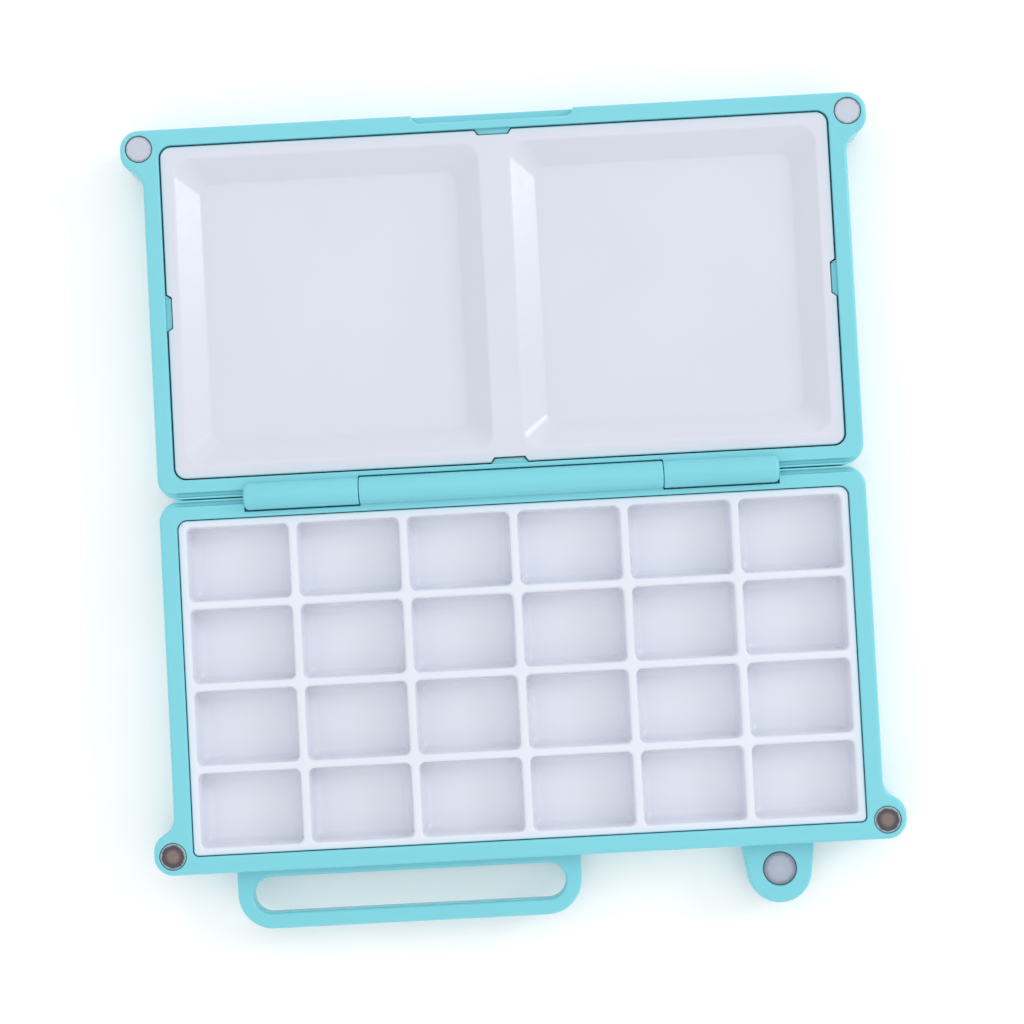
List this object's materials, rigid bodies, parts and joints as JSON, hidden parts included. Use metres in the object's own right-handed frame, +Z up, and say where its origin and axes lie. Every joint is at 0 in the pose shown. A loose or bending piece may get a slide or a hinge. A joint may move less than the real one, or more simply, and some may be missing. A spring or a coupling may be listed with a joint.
{
  "type": "folding watercolour palette",
  "caption": "Small hinged plastic paint box lying open flat: a grid of paint wells below, mixing wells in the lid, corner magnets, a handle loop and a magnet tab.",
  "frame": {"origin": "middle of the paint side's outer face, which lies on the table", "axes": "+Z up out of the table, X along the hinge, +Y from the paint side towards the lid, so the handle loop and the magnet tab point along -Y"},
  "size_m": [0.1124, 0.1212, 0.0116],
  "materials": {
    "case_plastic": "glossy pale aqua moulded plastic",
    "tray_plastic": "glossy white moulded plastic",
    "corner_magnet": "nickel plated disc",
    "tab_magnet": "nickel plated disc",
    "pin_steel": "bright drawn wire"
  },
  "bodies": {
    "base": {"base_shell": "case_plastic", "pan_tray": "tray_plastic", "base_magnet_left": "corner_magnet", "base_magnet_right": "corner_magnet", "tab_magnet": "tab_magnet"},
    "lid": {"lid_shell": "case_plastic", "mixing_tray": "tray_plastic", "lid_magnet_left": "corner_magnet", "lid_magnet_right": "corner_magnet", "hinge_pin_left": "pin_steel", "hinge_pin_right": "pin_steel"}
  },
  "joints": [
    {"name": "lid_hinge", "type": "hinge", "parent": "base", "child": "lid", "pos_m": [0, 0.0282, 0.0096], "axis": [1, 0, 0], "range_deg": [0, 180]}
  ]
}
